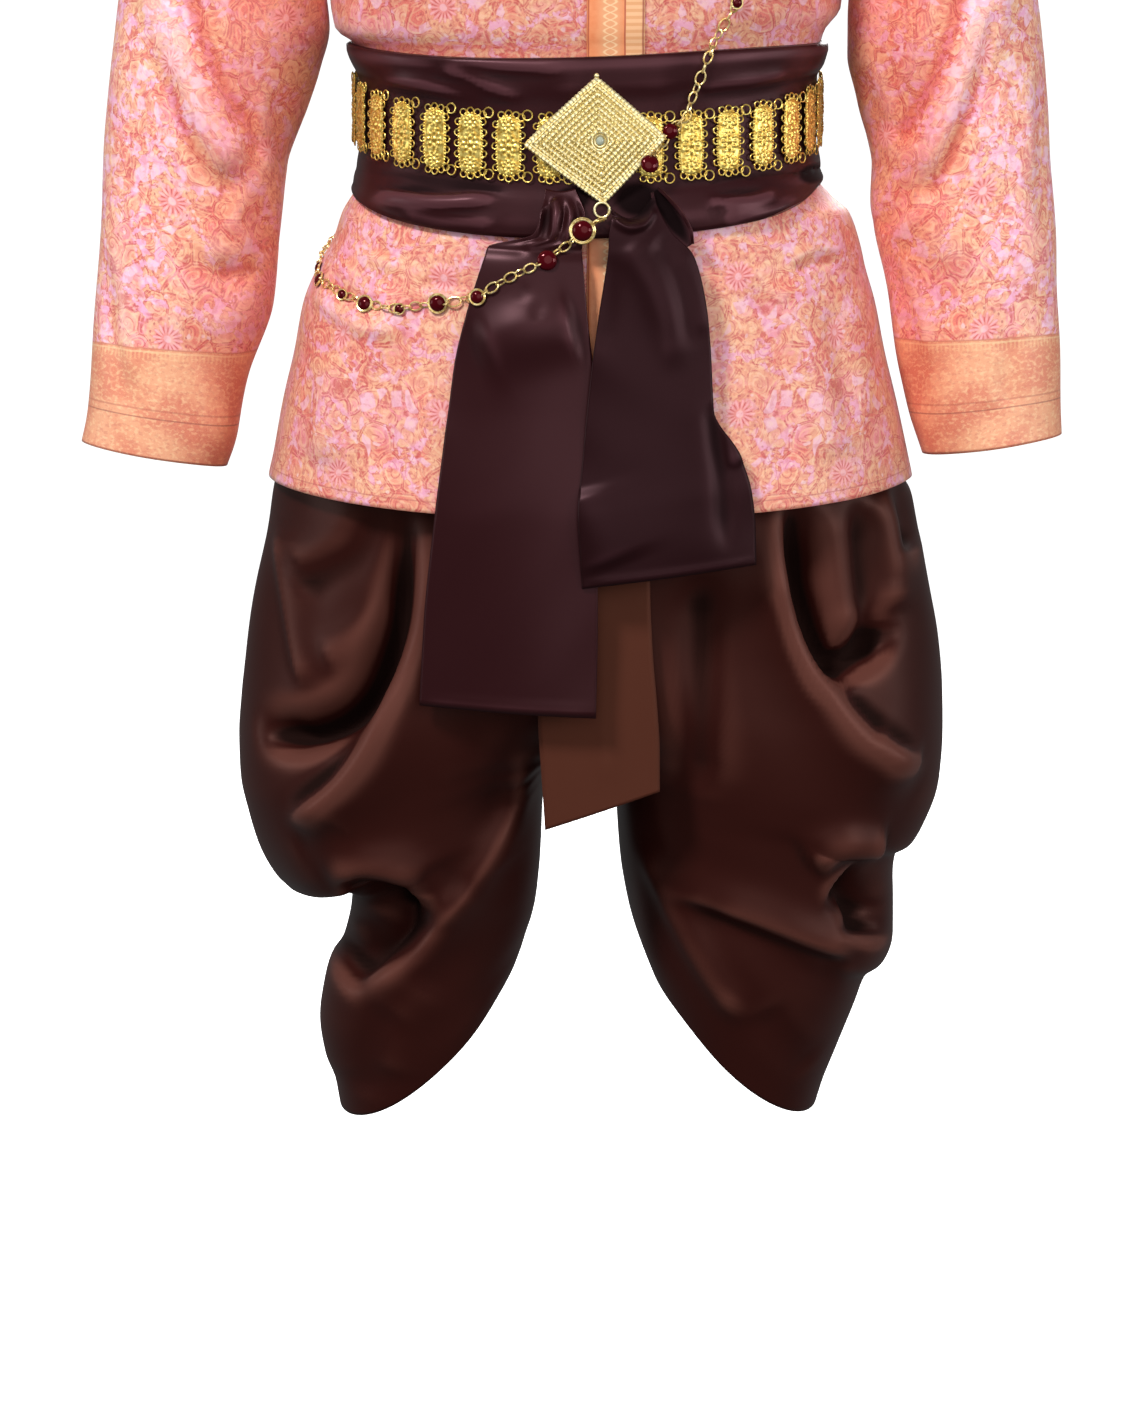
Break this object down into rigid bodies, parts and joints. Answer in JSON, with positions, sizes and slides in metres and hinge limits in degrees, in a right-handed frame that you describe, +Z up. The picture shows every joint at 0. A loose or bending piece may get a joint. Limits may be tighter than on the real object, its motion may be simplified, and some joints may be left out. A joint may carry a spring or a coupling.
{
  "type": "court outfit of jacket, sash and wrapped trousers",
  "caption": "Brocade court jacket with a wound satin sash, a plate belt with a diamond buckle, a garnet chain and draped wrapped trousers, in worn form.",
  "frame": {"origin": "centre of the wearer's waist, at the height of the belt's middle", "axes": "+Z up along the body, -Y towards the front, +X towards the viewer's right"},
  "size_m": [0.755, 0.3528, 1.2363],
  "materials": {
    "brocade": "woven silk brocade of coral, lilac and gold, soft sheen",
    "sash_satin": "plum-brown satin with a clear sheen",
    "trouser_satin": "dark reddish-brown satin",
    "flap_satin": "brown satin's duller side",
    "gold": "gilt brass, filigree",
    "garnet_chain": "gilt brass links set with dark red stones"
  },
  "bodies": {
    "root": {"belt_plate_00": "gold", "belt_plate_01": "gold", "belt_plate_02": "gold", "belt_plate_03": "gold", "belt_plate_04": "gold", "belt_plate_05": "gold", "belt_plate_06": "gold", "belt_plate_07": "gold", "belt_plate_08": "gold", "belt_plate_09": "gold", "belt_plate_10": "gold", "belt_plate_11": "gold", "belt_plate_12": "gold", "belt_plate_13": "gold", "belt_plate_14": "gold", "belt_plate_15": "gold", "belt_plate_16": "gold", "belt_plate_17": "gold", "belt_plate_18": "gold", "belt_plate_19": "gold", "belt_plate_20": "gold", "belt_plate_21": "gold", "belt_plate_22": "gold", "belt_plate_23": "gold", "belt_plate_24": "gold", "belt_plate_25": "gold", "belt_plate_26": "gold", "belt_plate_27": "gold", "belt_plate_28": "gold", "belt_plate_29": "gold", "belt_plate_30": "gold", "belt_plate_31": "gold", "buckle": "gold", "buckle_ring": "gold", "chain_back": "garnet_chain", "chain_front_lower": "garnet_chain", "chain_front_upper": "garnet_chain", "jacket_back": "brocade", "jacket_collar": "brocade", "jacket_front_left": "brocade", "jacket_front_right": "brocade", "jacket_placket": "brocade", "jacket_sleeve_left": "brocade", "jacket_sleeve_right": "brocade", "sash_end_left": "sash_satin", "sash_end_right": "sash_satin", "sash_knot_loop": "sash_satin", "sash_wrap": "sash_satin", "trouser_back_roll": "trouser_satin", "trouser_front_flap": "flap_satin", "trouser_leg_left": "trouser_satin", "trouser_leg_right": "trouser_satin", "trouser_waistband": "trouser_satin"}
  },
  "joints": []
}
